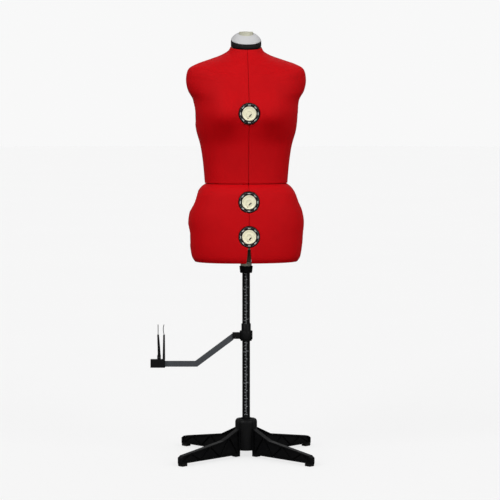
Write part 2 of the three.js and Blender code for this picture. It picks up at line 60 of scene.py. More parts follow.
def srgb(red, green, blue):
    """Linear colour from 0-255 display values."""
    linear = []
    for value in (red, green, blue):
        share = value / 255
        linear.append(share / 12.92 if share <= 0.04045 else ((share + 0.055) / 1.055) ** 2.4)
    return (*linear, 1.0)


def ends_of(node):
    """Bottom and top of a CAD node in millimetres."""
    low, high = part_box(node)
    return low[2] / MM, high[2] / MM


def radius_of(node):
    """Outer radius in millimetres of a round CAD node with an upright axis."""
    low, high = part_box(node)
    return (high[0] - low[0]) / 2 / MM


def link_object(name, data):
    """New object in the scene's collection."""
    item = bpy.data.objects.new(name, data)
    bpy.context.scene.collection.objects.link(item)
    return item


def add_object(name, points, faces, materials, body, face_materials=None, smooth=35):
    """Mesh object from points in metres, riding on a body, shaded smooth below an edge angle."""
    mesh = bpy.data.meshes.new(name)
    mesh.from_pydata([tuple(p) for p in points], [], [tuple(f) for f in faces])
    for material in materials:
        mesh.materials.append(material)
    if face_materials is not None:
        mesh.polygons.foreach_set("material_index", face_materials)
    mesh.validate()
    piece = link_object(name, mesh)
    shade(piece, smooth)
    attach(piece, body)
    return piece


def shade(piece, angle):
    """Smooth faces, with sharp edges where two faces meet at more than an angle in degrees."""
    mesh = piece.data
    work = bmesh.new()
    work.from_mesh(mesh)
    bmesh.ops.recalc_face_normals(work, faces=work.faces)
    limit = math.radians(angle)
    for face in work.faces:
        face.smooth = True
    for edge in work.edges:
        edge.smooth = len(edge.link_faces) != 2 or edge.calc_face_angle(0) < limit
    work.to_mesh(mesh)
    work.free()
    mesh.update()


class Shape:
    """Gathers points and faces of several solids, each face with a material number."""

    def __init__(self):
        self.points = []
        self.faces = []
        self.numbers = []

    def add(self, points, faces, matrix=None, number=0):
        start = len(self.points)
        for point in points:
            vector = Vector(point)
            self.points.append(matrix @ vector if matrix is not None else vector)
        for face in faces:
            self.faces.append([start + i for i in face])
            self.numbers.append(number)
        return self

    def make(self, name, materials, body, slot, smooth=35):
        scaled = [p * MM for p in self.points]
        return add_object(name, scaled, self.faces, materials, body, self.numbers, smooth)


def tube_faces(rows, count, closed=False):
    """Quads between successive rings of points, and from the last to the first if closed."""
    faces = []
    for i in range(rows if closed else rows - 1):
        low, high = i * count, (i + 1) % rows * count
        for j in range(count):
            k = (j + 1) % count
            faces.append((low + j, low + k, high + k, high + j))
    return faces


def lathe(profile, segments=64, flutes=None):
    """Solid of revolution about Z from (radius, height) points that close on themselves or on
    the axis. flutes(angle, radius, height) may change the radius."""
    on_axis = profile[0][0] == 0
    inner = profile[1:-1] if on_axis else profile
    points = []
    for radius, height in inner:
        for j in range(segments):
            angle = 2 * math.pi * j / segments
            r = flutes(angle, radius, height) if flutes else radius
            points.append((r * math.cos(angle), r * math.sin(angle), height))
    rows = len(inner)
    faces = tube_faces(rows, segments, not on_axis)
    if on_axis:
        points += [(0, 0, profile[0][1]), (0, 0, profile[-1][1])]
        first, last = len(points) - 2, len(points) - 1
        top = (rows - 1) * segments
        for j in range(segments):
            k = (j + 1) % segments
            faces.append((first, k, j))
            faces.append((last, top + j, top + k))
    return points, faces


def prism(outline, low, high):
    """Solid between two heights from an (x, y) outline."""
    count = len(outline)
    points = [(x, y, low) for x, y in outline] + [(x, y, high) for x, y in outline]
    ends = [tuple(range(count))[::-1], tuple(range(count, 2 * count))]
    return points, ends + tube_faces(2, count)


def rounded_bar(length, width, low, high, corner_steps=6):
    """Stadium-shaped bar along X, between two heights."""
    radius = width / 2
    outline = []
    for end in (1, -1):
        for i in range(corner_steps + 1):
            angle = -math.pi / 2 + math.pi * i / corner_steps + (0 if end > 0 else math.pi)
            x = end * (length / 2 - radius) + radius * math.cos(angle)
            outline.append((x, radius * math.sin(angle)))
    return prism(outline, low, high)


def arc_rows(places, a0, a1, steps):
    """Points along arcs about Z, one row for each (radius, height)."""
    angles = [a0 + (a1 - a0) * i / steps for i in range(steps + 1)]
    return [(radius * math.cos(a), radius * math.sin(a), z) for radius, z in places for a in angles]


def arc_patch(radius, a0, a1, z0, z1, steps=3):
    """Thin patch on a cylinder about Z, from one angle and height to another."""
    points = arc_rows(((radius, z0), (radius, z1)), a0, a1, steps)
    row = steps + 1
    faces = [(i, i + 1, row + i + 1, row + i) for i in range(steps)]
    return points, faces


def ring_patch(r0, r1, a0, a1, height, steps=4):
    """Flat sector of a ring at a height, a printed dash."""
    points = arc_rows(((r0, height), (r1, height)), a0, a1, steps)
    row = steps + 1
    faces = [(i, row + i, row + i + 1, i + 1) for i in range(steps)]
    return points, faces


# ---------- materials ----------

def new_material(name, color, roughness, gloss=0.5):
    material = bpy.data.materials.new(name)
    material.use_nodes = True
    shader = material.node_tree.nodes["Principled BSDF"]
    shader.inputs["Base Color"].default_value = color
    shader.inputs["Roughness"].default_value = roughness
    shader.inputs["Specular IOR Level"].default_value = gloss
    return material, material.node_tree, shader


def add_node(tree, kind, **values):
    node = tree.nodes.new(kind)
    for key, value in values.items():
        if key in node.inputs:
            node.inputs[key].default_value = value
        else:
            setattr(node, key, value)
    return node


def object_coordinates(tree):
    return add_node(tree, "ShaderNodeTexCoord").outputs["Object"]


def noise(tree, scale, detail=3.0, roughness=0.5):
    node = add_node(tree, "ShaderNodeTexNoise", Scale=scale, Detail=detail, Roughness=roughness)
    tree.links.new(object_coordinates(tree), node.inputs["Vector"])
    return node.outputs["Fac"]


def ramp(tree, factor, low, high, start=0.3, end=0.7):
    node = add_node(tree, "ShaderNodeValToRGB")
    node.color_ramp.elements[0].position = start
    node.color_ramp.elements[0].color = low
    node.color_ramp.elements[1].position = end
    node.color_ramp.elements[1].color = high
    tree.links.new(factor, node.inputs["Fac"])
    return node.outputs["Color"]


def bump(tree, shader, heights, distance, strength):
    node = add_node(tree, "ShaderNodeBump", Strength=strength, Distance=distance)
    tree.links.new(heights, node.inputs["Height"])
    tree.links.new(node.outputs["Normal"], shader.inputs["Normal"])


def math_node(tree, operation, first, second):
    node = add_node(tree, "ShaderNodeMath", operation=operation)
    for socket, value in zip(node.inputs, (first, second)):
        if isinstance(value, (int, float)):
            socket.default_value = value
        else:
            tree.links.new(value, socket)
    return node.outputs["Value"]


def wave(tree, direction, spacing, distortion=0.0):
    """Sine bands across one object axis, one band per spacing in metres."""
    node = add_node(tree, "ShaderNodeTexWave", wave_type="BANDS", bands_direction=direction)
    node.inputs["Scale"].default_value = math.pi / (10 * spacing)
    node.inputs["Distortion"].default_value = distortion
    tree.links.new(object_coordinates(tree), node.inputs["Vector"])
    return node.outputs["Fac"]


def shifted(color, factor):
    return tuple(c * factor for c in color[:3]) + (1.0,)


def grey(value):
    return (value, value, value, 1)


def tint(tree, shader, factor, color, low, high):
    """Base colour that varies with a factor between two multiples of a colour."""
    tone = ramp(tree, factor, shifted(color, low), shifted(color, high))
    tree.links.new(tone, shader.inputs["Base Color"])


def plastic(name, color, roughness, gloss=0.4, grain=0.0004, spread=0.08):
    """Moulded plastic: slight colour drift, fine grain and uneven gloss."""
    material, tree, shader = new_material(name, color, roughness, gloss)
    tint(tree, shader, noise(tree, 14.0), color, 1 - spread, 1 + spread)
    dull = ramp(tree, noise(tree, 60.0), grey(roughness - 0.06), grey(roughness + 0.08))
    tree.links.new(dull, shader.inputs["Roughness"])
    bump(tree, shader, noise(tree, 1600.0, 2.0), grain, 0.25)
    return material


def knit_fabric(name, color, rib=0.0009):
    """Fine warp-knit nylon: columns of stitches crossed by rows, with a soft sheen."""
    material, tree, shader = new_material(name, color, 0.6, 0.07)
    broad = noise(tree, 9.0, 4.0, 0.6)
    tone = ramp(tree, broad, shifted(color, 0.93), shifted(color, 1.05))
    stitches = math_node(tree, "MULTIPLY", wave(tree, "X", rib, 0.6), wave(tree, "Z", rib * 1.25, 0.6))
    across = math_node(tree, "MULTIPLY", wave(tree, "Y", rib, 0.6), wave(tree, "Z", rib * 1.25, 0.6))
    weave = math_node(tree, "ADD", stitches, across)
    darker = add_node(tree, "ShaderNodeMix", data_type="RGBA", blend_type="MULTIPLY")
    darker.inputs[0].default_value = 0.16
    tree.links.new(tone, darker.inputs[6])
    tree.links.new(ramp(tree, weave, grey(0.55), grey(1), 0.1, 1.2), darker.inputs[7])
    tree.links.new(darker.outputs[2], shader.inputs["Base Color"])
    uneven = math_node(tree, "ADD", weave, math_node(tree, "MULTIPLY", noise(tree, 260.0, 3.0), 1.4))
    bump(tree, shader, uneven, 0.00035, 0.35)
    return material


def ribbed_trim(name, color):
    """Black elastic trim with close vertical cords."""
    material, tree, shader = new_material(name, color, 0.7, 0.2)
    cords = math_node(tree, "ADD", wave(tree, "X", 0.0016, 0.2), wave(tree, "Y", 0.0016, 0.2))
    bump(tree, shader, math_node(tree, "ADD", cords, noise(tree, 700.0)), 0.0004, 0.5)
    tint(tree, shader, noise(tree, 90.0), color, 0.8, 1.3)
    return material


def painted_tube(name, color):
    material, tree, shader = new_material(name, color, 0.34, 0.14)
    tint(tree, shader, noise(tree, 30.0), color, 0.9, 1.15)
    scuffs = ramp(tree, noise(tree, 240.0, 5.0, 0.7), grey(0.26), grey(0.42), 0.45, 0.75)
    tree.links.new(scuffs, shader.inputs["Roughness"])
    bump(tree, shader, noise(tree, 500.0), 0.0001, 0.15)
    return material


def brushed_metal(name, color, roughness, metallic):
    material, tree, shader = new_material(name, color, roughness)
    shader.inputs["Metallic"].default_value = metallic
    tint(tree, shader, noise(tree, 120.0, 5.0, 0.7), color, 0.88, 1.12)
    grain = ramp(tree, noise(tree, 700.0), grey(roughness - 0.06), grey(roughness + 0.1))
    tree.links.new(grain, shader.inputs["Roughness"])
    bump(tree, shader, noise(tree, 900.0), 0.0001, 0.2)
    return material


def rubber(name, color):
    material, tree, shader = new_material(name, color, 0.85, 0.15)
    tint(tree, shader, noise(tree, 45.0), color, 0.8, 1.35)
    bump(tree, shader, noise(tree, 900.0, 4.0), 0.0004, 0.5)
    return material


RED = knit_fabric("red_knit", srgb(186, 3, 11))
BLACK = plastic("black_plastic", srgb(8, 8, 9), 0.45, 0.1, spread=0.15)
BEZEL = plastic("bezel_black", srgb(14, 13, 15), 0.45, 0.14, spread=0.12)
MARKS = plastic("pale_marks", srgb(172, 174, 170), 0.5)
IVORY = plastic("ivory_plastic", srgb(228, 223, 193), 0.24, spread=0.04)
KNOB = plastic("knob_ivory", srgb(186, 185, 166), 0.38, spread=0.05)
# Ivory plastic of the panels and masts, darkened well below its own colour as painted shade for the inside
# of the form.
SHADED_SHELL = plastic("shell_plastic_painted_shade", srgb(118, 112, 88), 0.5, spread=0.06)
GREY = plastic("dome_grey", srgb(186, 186, 187), 0.4, spread=0.03)
# Painted shade: the dark colour of the bar that stands in for the shadowed hollow of a dial's slot.
PAINTED_SLOT_SHADE = plastic("painted_slot_shade", srgb(38, 28, 24), 0.6, 0.2)
ARROW = plastic("arrow_red", srgb(142, 84, 60), 0.55)
TRIM = ribbed_trim("neck_trim", srgb(15, 12, 13))
TUBE = painted_tube("pole_black", srgb(9, 9, 10))
PRINT = plastic("scale_print", srgb(116, 118, 120), 0.5)
RUBBER = rubber("pad_rubber", srgb(14, 14, 14))
ARM = brushed_metal("arm_grey", srgb(56, 59, 63), 0.4, 0.35)
WIRE = brushed_metal("bright_wire", srgb(46, 47, 49), 0.35, 0.3)


# ---------- camera, light and floor ----------

CAMERA_AT = Vector((-0.5803, -6.8802, 1.16))
AIM = Vector((0.0125, 0.001, 0.659))
LENS = 157.0
SENSOR = 36
STAGE = 40.0             # half width of the floor and radius of the backdrop
# Distant lights: azimuth (0 is the front, 90 the right), elevation, softness in degrees, strength.
SUNS = {
    "left_box": (-46, 32, 40, 1.75),
    "right_box": (44, 26, 40, 1.45),
    "low_fill": (0, 4, 60, 0.55),
    "back": (170, 40, 40, 0.12),
}
DOME_LOW = grey(0.02)
DOME_HIGH = grey(0.5)
BACKDROP_GLOW = 0.94
FLOOR_TONE = 0.22
FLOOR_GLOW = 0.71


def make_camera():
    data = bpy.data.cameras.new("camera")
    data.lens = LENS
    data.sensor_width = SENSOR
    data.clip_end = 100
    camera = link_object("camera", data)
    camera.location = CAMERA_AT
    camera.rotation_euler = (AIM - CAMERA_AT).to_track_quat("-Z", "Y").to_euler()
    bpy.context.scene.camera = camera


def sun(name, azimuth, elevation, softness, strength):
    """Distant soft light."""
    data = bpy.data.lights.new(name, "SUN")
    data.angle = math.radians(softness)
    data.energy = strength
    light = link_object(name, data)
    a, e = math.radians(azimuth), math.radians(elevation)
    source = Vector((math.sin(a) * math.cos(e), -math.cos(a) * math.cos(e), math.sin(e)))
    light.rotation_euler = source.to_track_quat("Z", "Y").to_euler()


def make_light():
    """Soft dome that is brighter above than below, and the four distant lights."""
    world = bpy.data.worlds.new("studio")
    world.use_nodes = True
    tree = world.node_tree
    coordinates = add_node(tree, "ShaderNodeTexCoord")
    split = add_node(tree, "ShaderNodeSeparateXYZ")
    tree.links.new(coordinates.outputs["Generated"], split.inputs["Vector"])
    height = math_node(tree, "MULTIPLY_ADD", split.outputs["Z"], 0.5)
    height.node.inputs[2].default_value = 0.5
    sky = ramp(tree, height, DOME_LOW, DOME_HIGH, 0.2, 0.95)
    tree.links.new(sky, tree.nodes["Background"].inputs["Color"])
    bpy.context.scene.world = world
    for name, values in SUNS.items():
        sun(name, *values)
    bpy.context.scene.view_settings.view_transform = "Standard"


def glowing(name, diffuse, glow):
    """Pale studio surface: partly lit, partly glowing, so that it stays even far away."""
    material, tree, shader = new_material(name, diffuse, 0.9)
    tint(tree, shader, noise(tree, 0.8), diffuse, 0.99, 1.01)
    shader.inputs["Specular IOR Level"].default_value = 0.0
    shader.inputs["Emission Color"].default_value = (1, 1, 1, 1)
    shader.inputs["Emission Strength"].default_value = glow
    return material


def stage_piece(name, mesh, material):
    mesh.materials.append(material)
    piece = link_object(name, mesh)
    piece.visible_diffuse = False
    piece.visible_glossy = False
    return piece


def make_floor():
    mesh = bpy.data.meshes.new("floor")
    corners = [(-STAGE, -STAGE, 0), (STAGE, -STAGE, 0), (STAGE, STAGE, 0), (-STAGE, STAGE, 0)]
    mesh.from_pydata(corners, [], [(0, 1, 2, 3)])
    stage_piece("floor", mesh, glowing("floor_white", grey(FLOOR_TONE), FLOOR_GLOW))


def make_backdrop():
    """Plain pale surround that the camera sees and that lights nothing."""
    work = bmesh.new()
    bmesh.ops.create_icosphere(work, subdivisions=4, radius=STAGE)
    mesh = bpy.data.meshes.new("backdrop")
    work.to_mesh(mesh)
    work.free()
    piece = stage_piece("backdrop", mesh, glowing("backdrop_white", grey(0), BACKDROP_GLOW))
    piece.visible_shadow = False
    piece.visible_transmission = False


# ---------- torso surface ----------
# Cross-sections from top to bottom: half width, side z, front depth, front z, back depth,
# back z, squareness. They lie on the outer surface of the fabric.
UPPER_RINGS = np.array([
    [49.4, 1299.4, 47, 1290.4, 53, 1309.6, 2.0],
    [57.5, 1286, 54, 1275, 60, 1300, 2.0],
    [81, 1272, 62, 1260, 68, 1287, 2.0],
    [118, 1260.5, 72, 1244, 78, 1270, 2.0],
    [158, 1247, 82, 1222, 88, 1250, 2.0],
    [182, 1232, 88, 1205, 94, 1228, 2.0],
    [190, 1200, 94, 1183, 100, 1203, 2.0],
    [184, 1165, 100, 1158, 104, 1172, 2.1],
    [168, 1135, 108, 1132, 105, 1140, 2.2],
    [163.5, 1092, 114, 1092, 103, 1098, 2.3],
    [158, 1040, 106, 1040, 98, 1040, 2.3],
    [145, 992, 98, 992, 90, 992, 2.2],
    [137, 940, 94, 940, 84, 940, 2.2],
    [131, 874, 92, 874, 82, 874, 2.2],
])
LOWER_RINGS = np.array([
    [129, 871, 91, 871, 81, 871, 2.2],
    [143, 860, 101, 860, 92, 860, 2.2],
    [155, 842, 108, 842, 101, 842, 2.3],
    [167, 812, 113, 812, 112, 812, 2.3],
    [178, 784, 116, 784, 122, 784, 2.3],
    [183.5, 752, 118, 752, 128, 752, 2.3],
    [181, 712, 119, 712, 128, 712, 2.3],
    [178, 675, 118, 675, 123, 675, 2.3],
    [171, 637, 114, 637, 116, 637, 2.3],
    [163, 624.5, 108, 624.5, 109, 624.5, 2.3],
])
BREAST = {"x": 85, "z": 1084, "height": 24, "width": 42, "below": 36, "above": 62}
SEAT = {"x": 72, "z": 700, "height": 5, "width": 45, "tall": 55}

SIDE_Y = sum(corner[1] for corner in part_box("bust_left_bezel")) / 2 / MM  # plane of the side seams
SEAM_GAP = 0.4          # half the gap between two covers
ROLL = 1.2              # radius of a cover's turned edge
TUCK = 5.0              # how far a turned edge runs inwards
WELL = 35.2             # where the fabric turns into a dial's cup
CUP_LINING = 33.8       # radius at which the fabric ends in the cup
CUP_FLOOR = 0.8         # height above the dial's seat at which it ends
CUP_SIDE = -60          # points further behind a dial's seat are on another side of the form
RIM_REACH = 0.5         # how far from the cup's radius a point still counts as on its rim
RIM_HALVINGS = 18       # steps of the search for the rim between two points
FAR_AWAY = 1e3
SLIT_TOP = 676.0        # the front seam opens below this height
SLIT_ROUND = 6.0        # height over which it opens to its first width
SLIT_FOOT = 624.0       # it reaches its full width at this height, just under the hem
SLIT_HALF = (3.6, 7.4)  # extra half gap at the slit's top and at the hem
ROLL_ANGLES = (25, 50, 72, 90)   # degrees of a turned edge's rows
PUCKER = {"reach": 16, "height": 0.22, "folds": 17, "sway": 1.5, "waves": 3}
FULL_GRID = {"columns": 64, "upper": 150, "lower": 90}


def spline_rows(rings, count):
    """Rings interpolated by a cubic curve through them, whose steps follow their distances."""
    steps = np.linalg.norm(np.diff(rings[:, :4], axis=0), axis=1) ** 0.5
    knots = np.concatenate([[0], np.cumsum(steps)])
    slopes = np.gradient(rings, knots, axis=0)
    out = []
    for t in np.linspace(0, knots[-1], count):
        i = min(np.searchsorted(knots, t, side="right") - 1, len(rings) - 2)
        width = knots[i + 1] - knots[i]
        s = (t - knots[i]) / width
        out.append((2 * s**3 - 3 * s**2 + 1) * rings[i] + (s**3 - 2 * s**2 + s) * width * slopes[i]
                   + (3 * s**2 - 2 * s**3) * rings[i + 1] + (s**3 - s**2) * width * slopes[i + 1])
    return np.array(out)


def bell(distance, width):
    return math.exp(-(distance * distance) / (2 * width * width))


def pair_of_bells(x, z, shape, tall):
    across = bell(x - shape["x"], shape["width"]) + bell(x + shape["x"], shape["width"])
    return shape["height"] * across * bell(z - shape["z"], tall)


def breast(x, z):
    return pair_of_bells(x, z, BREAST, BREAST["below"] if z < BREAST["z"] else BREAST["above"])


def seat_bulge(x, z):
    return pair_of_bells(x, z, SEAT, SEAT["tall"])


def torso_point(ring, sx, angle):
    """Point of one side; the angle runs from -90 degrees at the back seam to 90 at the front."""
    a, side_z, front, front_z, back, back_z, squareness = ring
    c, s = max(math.cos(angle), 0.0), math.sin(angle)
    x = sx * a * c ** (2 / squareness)
    depth = abs(s) ** (2 / squareness)
    end_z = front_z if s > 0 else back_z
    tilted = front_z < side_z < back_z
    z = side_z + (end_z - side_z) * abs(s) ** (1 if tilted else 2)
    if s > 0:
        return Vector((x, -(front + breast(x, z)) * depth, z))
    return Vector((x, (back + seat_bulge(x, z)) * depth, z))


def seam_offset(section, sy, z):
    """Distance of a cover's flat part from the middle seam; it widens at the front hem."""
    offset = SEAM_GAP + ROLL
    if section == "lower" and sy < 0 and z < SLIT_TOP:
        share = min((SLIT_TOP - z) / SLIT_ROUND, 1.0)
        slope = (SLIT_TOP - z) / (SLIT_TOP - SLIT_FOOT)
        offset += share * (SLIT_HALF[0] + (SLIT_HALF[1] - SLIT_HALF[0]) * slope)
    return offset


def quarter_grid(section, rings, sx, sy, columns):
    """Grid of points over one quarter, from the side seam to the middle seam."""
    grid = []
    for ring in rings:
        a, squareness = ring[0], ring[6]
        end_z = ring[3] if sy < 0 else ring[5]
        side_y = SIDE_Y + sy * (SEAM_GAP + ROLL)
        side = -math.asin((side_y / ring[4]) ** (squareness / 2))
        middle = -sy * math.acos((seam_offset(section, sy, end_z) / a) ** (squareness / 2))
        angles = [side + (middle - side) * j / (columns - 1) for j in range(columns)]
        grid.append([torso_point(ring, sx, angle) for angle in angles])
    return grid


# ---------- dial stations ----------

LEVELS = {"bust": "upper", "waist": "lower", "hip": "lower"}
OUTWARD = {"front": Vector((0, -1, 0)), "back": Vector((0, 1, 0)),
           "left": Vector((-1, 0, 0)), "right": Vector((1, 0, 0))}
BEZEL_THICK = 8.6


def station(level, side):
    """Frame of a dial's seat in millimetres: X along the panels' travel, Y up, Z outwards."""
    low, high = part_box(f"{level}_{side}_bezel")
    low, high = Vector(low) / MM, Vector(high) / MM
    out = OUTWARD[side]
    centre = (low + high) / 2
    half = abs((high - low).dot(out)) / 2
    seat = centre + out * (half - BEZEL_THICK)
    travel = UP.cross(out)
    matrix = Matrix((travel, UP, out)).transposed().to_4x4()
    matrix.translation = seat
    return matrix


STATIONS = {(level, side): station(level, side) for level in LEVELS for side in OUTWARD}


def wells_of(section, sx, sy):
    """Axes of the dials whose cups cut into one quarter."""
    sides = ["front" if sy < 0 else "back", "left" if sx < 0 else "right"]
    return [STATIONS[level, side] for level in LEVELS if LEVELS[level] == section for side in sides]


# ---------- fabric covers ----------

def well_distance(point, matrix):
    """Distance of a point from a dial's axis, or far away if it is on the other side."""
    local = matrix.inverted() @ point
    return math.hypot(local.x, local.y) if local.z > CUP_SIDE else FAR_AWAY


def cut_well(grid, alive, matrix):
    """Drops the points inside a dial's cup, moves those next to its rim on to the rim, and
    returns the places of the moved ones in the grid."""
    rows, columns = len(grid), len(grid[0])
    distance = [[well_distance(p, matrix) for p in row] for row in grid]
    moved = {}
    for i in range(rows):
        for j in range(columns):
            if distance[i][j] >= WELL:
                continue
            alive[i][j] = False
            best = None
            for di in (-1, 0, 1):
                for dj in (-1, 0, 1):
                    k, m = i + di, j + dj
                    if not (0 <= k < rows and 0 <= m < columns) or distance[k][m] < WELL:
                        continue
                    share = rim_share(grid[i][j], grid[k][m], matrix)
                    step = (grid[k][m] - grid[i][j]).length * share
                    if best is None or step < best[0]:
                        best = (step, grid[i][j].lerp(grid[k][m], share))
            if best:
                moved[i, j] = best[1]
    for (i, j), point in moved.items():
        grid[i][j] = point
    return set(moved)


def rim_share(inside, outside, matrix):
    """Share of the way from an inner to an outer point at which the rim is crossed."""
    low, high = 0.0, 1.0
    for _ in range(RIM_HALVINGS):
        middle = (low + high) / 2
        if well_distance(inside.lerp(outside, middle), matrix) < WELL:
            low = middle
        else:
            high = middle
    return (low + high) / 2


def cover_mesh(section, rings, sx, sy, columns):
    """Open surface of one cover, with its dial cups cut out."""
    grid = quarter_grid(section, rings, sx, sy, columns)
    rows = len(grid)
    alive = [[True] * columns for _ in range(rows)]
    rims = set()
    for matrix in wells_of(section, sx, sy):
        rims |= cut_well(grid, alive, matrix)
    mesh = bmesh.new()
    verts = {}
    for i in range(rows - 1):
        for j in range(columns - 1):
            corners = [(i, j), (i, j + 1), (i + 1, j + 1), (i + 1, j)]
            if not any(alive[a][b] for a, b in corners):
                continue
            usable = [c for c in corners if alive[c[0]][c[1]] or c in rims]
            if len(usable) < 3:
                continue
            for c in usable:
                if c not in verts:
                    verts[c] = mesh.verts.new(grid[c[0]][c[1]])
            loop = [verts[c] for c in usable]
            mesh.faces.new(loop if sx * sy < 0 else loop[::-1])
    return mesh


def cup_foot(point, wells):
    """Where the fabric that starts at a rim point ends in the dial's cup, or None off the rims."""
    for matrix in wells:
        local = matrix.inverted() @ point
        distance = math.hypot(local.x, local.y)
        if local.z > CUP_SIDE and abs(distance - WELL) < RIM_REACH:
            share = CUP_LINING / distance
            return matrix @ Vector((local.x * share, local.y * share, CUP_FLOOR))
    return None


def turn_edges(mesh, wells):
    """Rolls the open edges of a cover inwards over a quarter circle and on into a tuck, which
    lines the cup at a dial."""
    mesh.normal_update()
    border = [e for e in mesh.edges if len(e.link_faces) == 1]
    outward = {}
    for edge in border:
        centre = edge.link_faces[0].calc_center_median()
        along = (edge.verts[1].co - edge.verts[0].co).normalized()
        away = (edge.verts[0].co + edge.verts[1].co) / 2 - centre
        away -= along * away.dot(along)
        for vert in edge.verts:
            outward[vert] = outward.get(vert, Vector()) + away.normalized()
    normals = {v: v.normal.copy() for v in outward}
    rows = [dict((v, v) for v in outward)]
    steps = [(math.sin(a), 1 - math.cos(a)) for a in map(math.radians, ROLL_ANGLES)]
    offsets = [(ROLL * s, ROLL * c) for s, c in steps] + [(ROLL, ROLL + TUCK / 2), (ROLL, ROLL + TUCK)]
    feet = {vert: cup_foot(vert.co, wells) for vert in outward}
    for i, (out, down) in enumerate(offsets):
        row = {}
        for vert, direction in outward.items():
            side = direction - normals[vert] * direction.dot(normals[vert])
            point = vert.co + side.normalized() * out - normals[vert] * down
            if feet[vert] and i >= len(steps):
                point = rows[len(steps)][vert].co.lerp(feet[vert], (i + 1 - len(steps)) / 2)
            row[vert] = mesh.verts.new(point)
        rows.append(row)
    for edge in border:
        loop = edge.link_loops[0]
        a, b = loop.vert, loop.link_loop_next.vert
        for near, far in zip(rows, rows[1:]):
            mesh.faces.new([near[b], near[a], far[a], far[b]])


def pucker(point, matrix):
    """Small folds of the fabric where it is drawn into a dial's cup."""
    local = matrix.inverted() @ point
    distance = math.hypot(local.x, local.y)
    if local.z < CUP_SIDE or distance > WELL + PUCKER["reach"]:
        return 0.0
    fade = 1 - max(distance - WELL, 0) / PUCKER["reach"]
    angle = math.atan2(local.y, local.x)
    sway = PUCKER["sway"] * math.sin(PUCKER["waves"] * angle)
    return PUCKER["height"] * fade * fade * math.sin(PUCKER["folds"] * angle + sway)


def cut_pattern(rings, sy):
    """Flat width, length and area in metres of the knit a cover is cut from: the girth of one
    quarter at each ring, the way down from ring to ring as the mean of the side seam's and the
    middle seam's, and a turning on every edge. The dial wells aren't taken off. An oval's girth
    follows Ramanujan's formula."""
    turning = ROLL * math.pi / 2 + TUCK
    girths = []
    for ring in rings:
        a, b = ring[0], (ring[2] + SIDE_Y if sy < 0 else ring[4] - SIDE_Y)
        oval_girth = math.pi * (3 * (a + b) - math.sqrt((3 * a + b) * (a + 3 * b)))
        girths.append(oval_girth / 4 + 2 * turning)
    side = np.linalg.norm(np.diff(rings[:, [0, 1]], axis=0), axis=1)
    middle = np.linalg.norm(np.diff(rings[:, [2, 3] if sy < 0 else [4, 5]], axis=0), axis=1)
    steps = (side + middle) / 2
    area = sum(step * (g + h) / 2 for step, g, h in zip(steps, girths, girths[1:]))
    area += turning * (girths[0] + girths[-1])
    return max(girths) * MM, (sum(steps) + 2 * turning) * MM, area * MM * MM


def make_cover(section, rings, sx, sy):
    fb = "front" if sy < 0 else "back"
    lr = "left" if sx < 0 else "right"
    name = f"{section}_cover_{fb}_{lr}"
    size = FULL_GRID
    mesh = cover_mesh(section, spline_rows(rings, size[section]), sx, sy, size["columns"])
    wells = wells_of(section, sx, sy)
    turn_edges(mesh, wells)
    mesh.normal_update()
    for vert in mesh.verts:
        vert.co += vert.normal * sum(pucker(vert.co, m) for m in wells)
    data = bpy.data.meshes.new(name)
    for vert in mesh.verts:
        vert.co *= MM
    for face in mesh.faces:
        face.smooth = True
    mesh.to_mesh(data)
    mesh.free()
    data.materials.append(RED)
    piece = link_object(name, data)
    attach(piece, f"{section}_{fb}_{lr}")
    width, length, area = cut_pattern(rings, sy)


def make_covers():
    for section, rings in (("upper", UPPER_RINGS), ("lower", LOWER_RINGS)):
        for sx in (-1, 1):
            for sy in (-1, 1):
                make_cover(section, rings, sx, sy)


# ---------- dials ----------

PRINT_Z = 8.66          # height of the bezel's print, just above its face
MARK = {"count": 8, "inner": 26.0, "outer": 28.8, "half": 0.15}          # half is an angle
GRADUATION = {"count": 48, "inner": 29.2, "outer": 30.2, "half": 0.012}  # fine ones between marks
DISC_FRONT = 7.4        # height of the CAD disc's face above the dial's seat
PINION = {"teeth": 8, "tip": 11.8, "root": 7.6, "tip_half": 0.7, "root_half": 1.7, "near": -12, "far": -20}


def bezel_shape():
    """Black ring with its neck through the panels, a foot behind them, and the printed marks."""
    profile = [(3.7, -8), (19.6, -8), (20, -7.6), (20, -6.4), (19.6, -6), (12, -6), (12, 0.4),
               (31.8, 0.4), (32.8, 0.9), (33.1, 1.8), (33.1, 6.4), (32.7, 7.6), (31.6, 8.4), (30.2, 8.6),
               (25, 8.6), (23.7, 8.3), (23, 7.6), (22.8, 6.8), (22.8, 4), (3.7, 4)]
    shape = Shape().add(*lathe(profile, 72))
    for i in range(MARK["count"]):
        middle = math.radians(90 - 360 / MARK["count"] * i)
        start, end = middle - MARK["half"], middle + MARK["half"]
        shape.add(*ring_patch(MARK["inner"], MARK["outer"], start, end, PRINT_Z), number=1)
    for i in range(GRADUATION["count"]):
        if i % (GRADUATION["count"] // MARK["count"]):
            middle = math.radians(360 / GRADUATION["count"] * i)
            start, end = middle - GRADUATION["half"], middle + GRADUATION["half"]
            patch = ring_patch(GRADUATION["inner"], GRADUATION["outer"], start, end, PRINT_Z, 1)
            shape.add(*patch, number=1)
    return shape


def pinion_outline():
    tip, root = PINION["tip"], PINION["root"]
    tip_half, root_half = PINION["tip_half"], PINION["root_half"]
    outline = []
    for i in range(PINION["teeth"]):
        middle = 2 * math.pi * i / PINION["teeth"] + math.pi / 2
        for r, half in ((root, root_half), (tip, tip_half), (tip, -tip_half), (root, -root_half)):
            angle = middle - half / r
            outline.append((r * math.cos(angle), r * math.sin(angle)))
    return outline


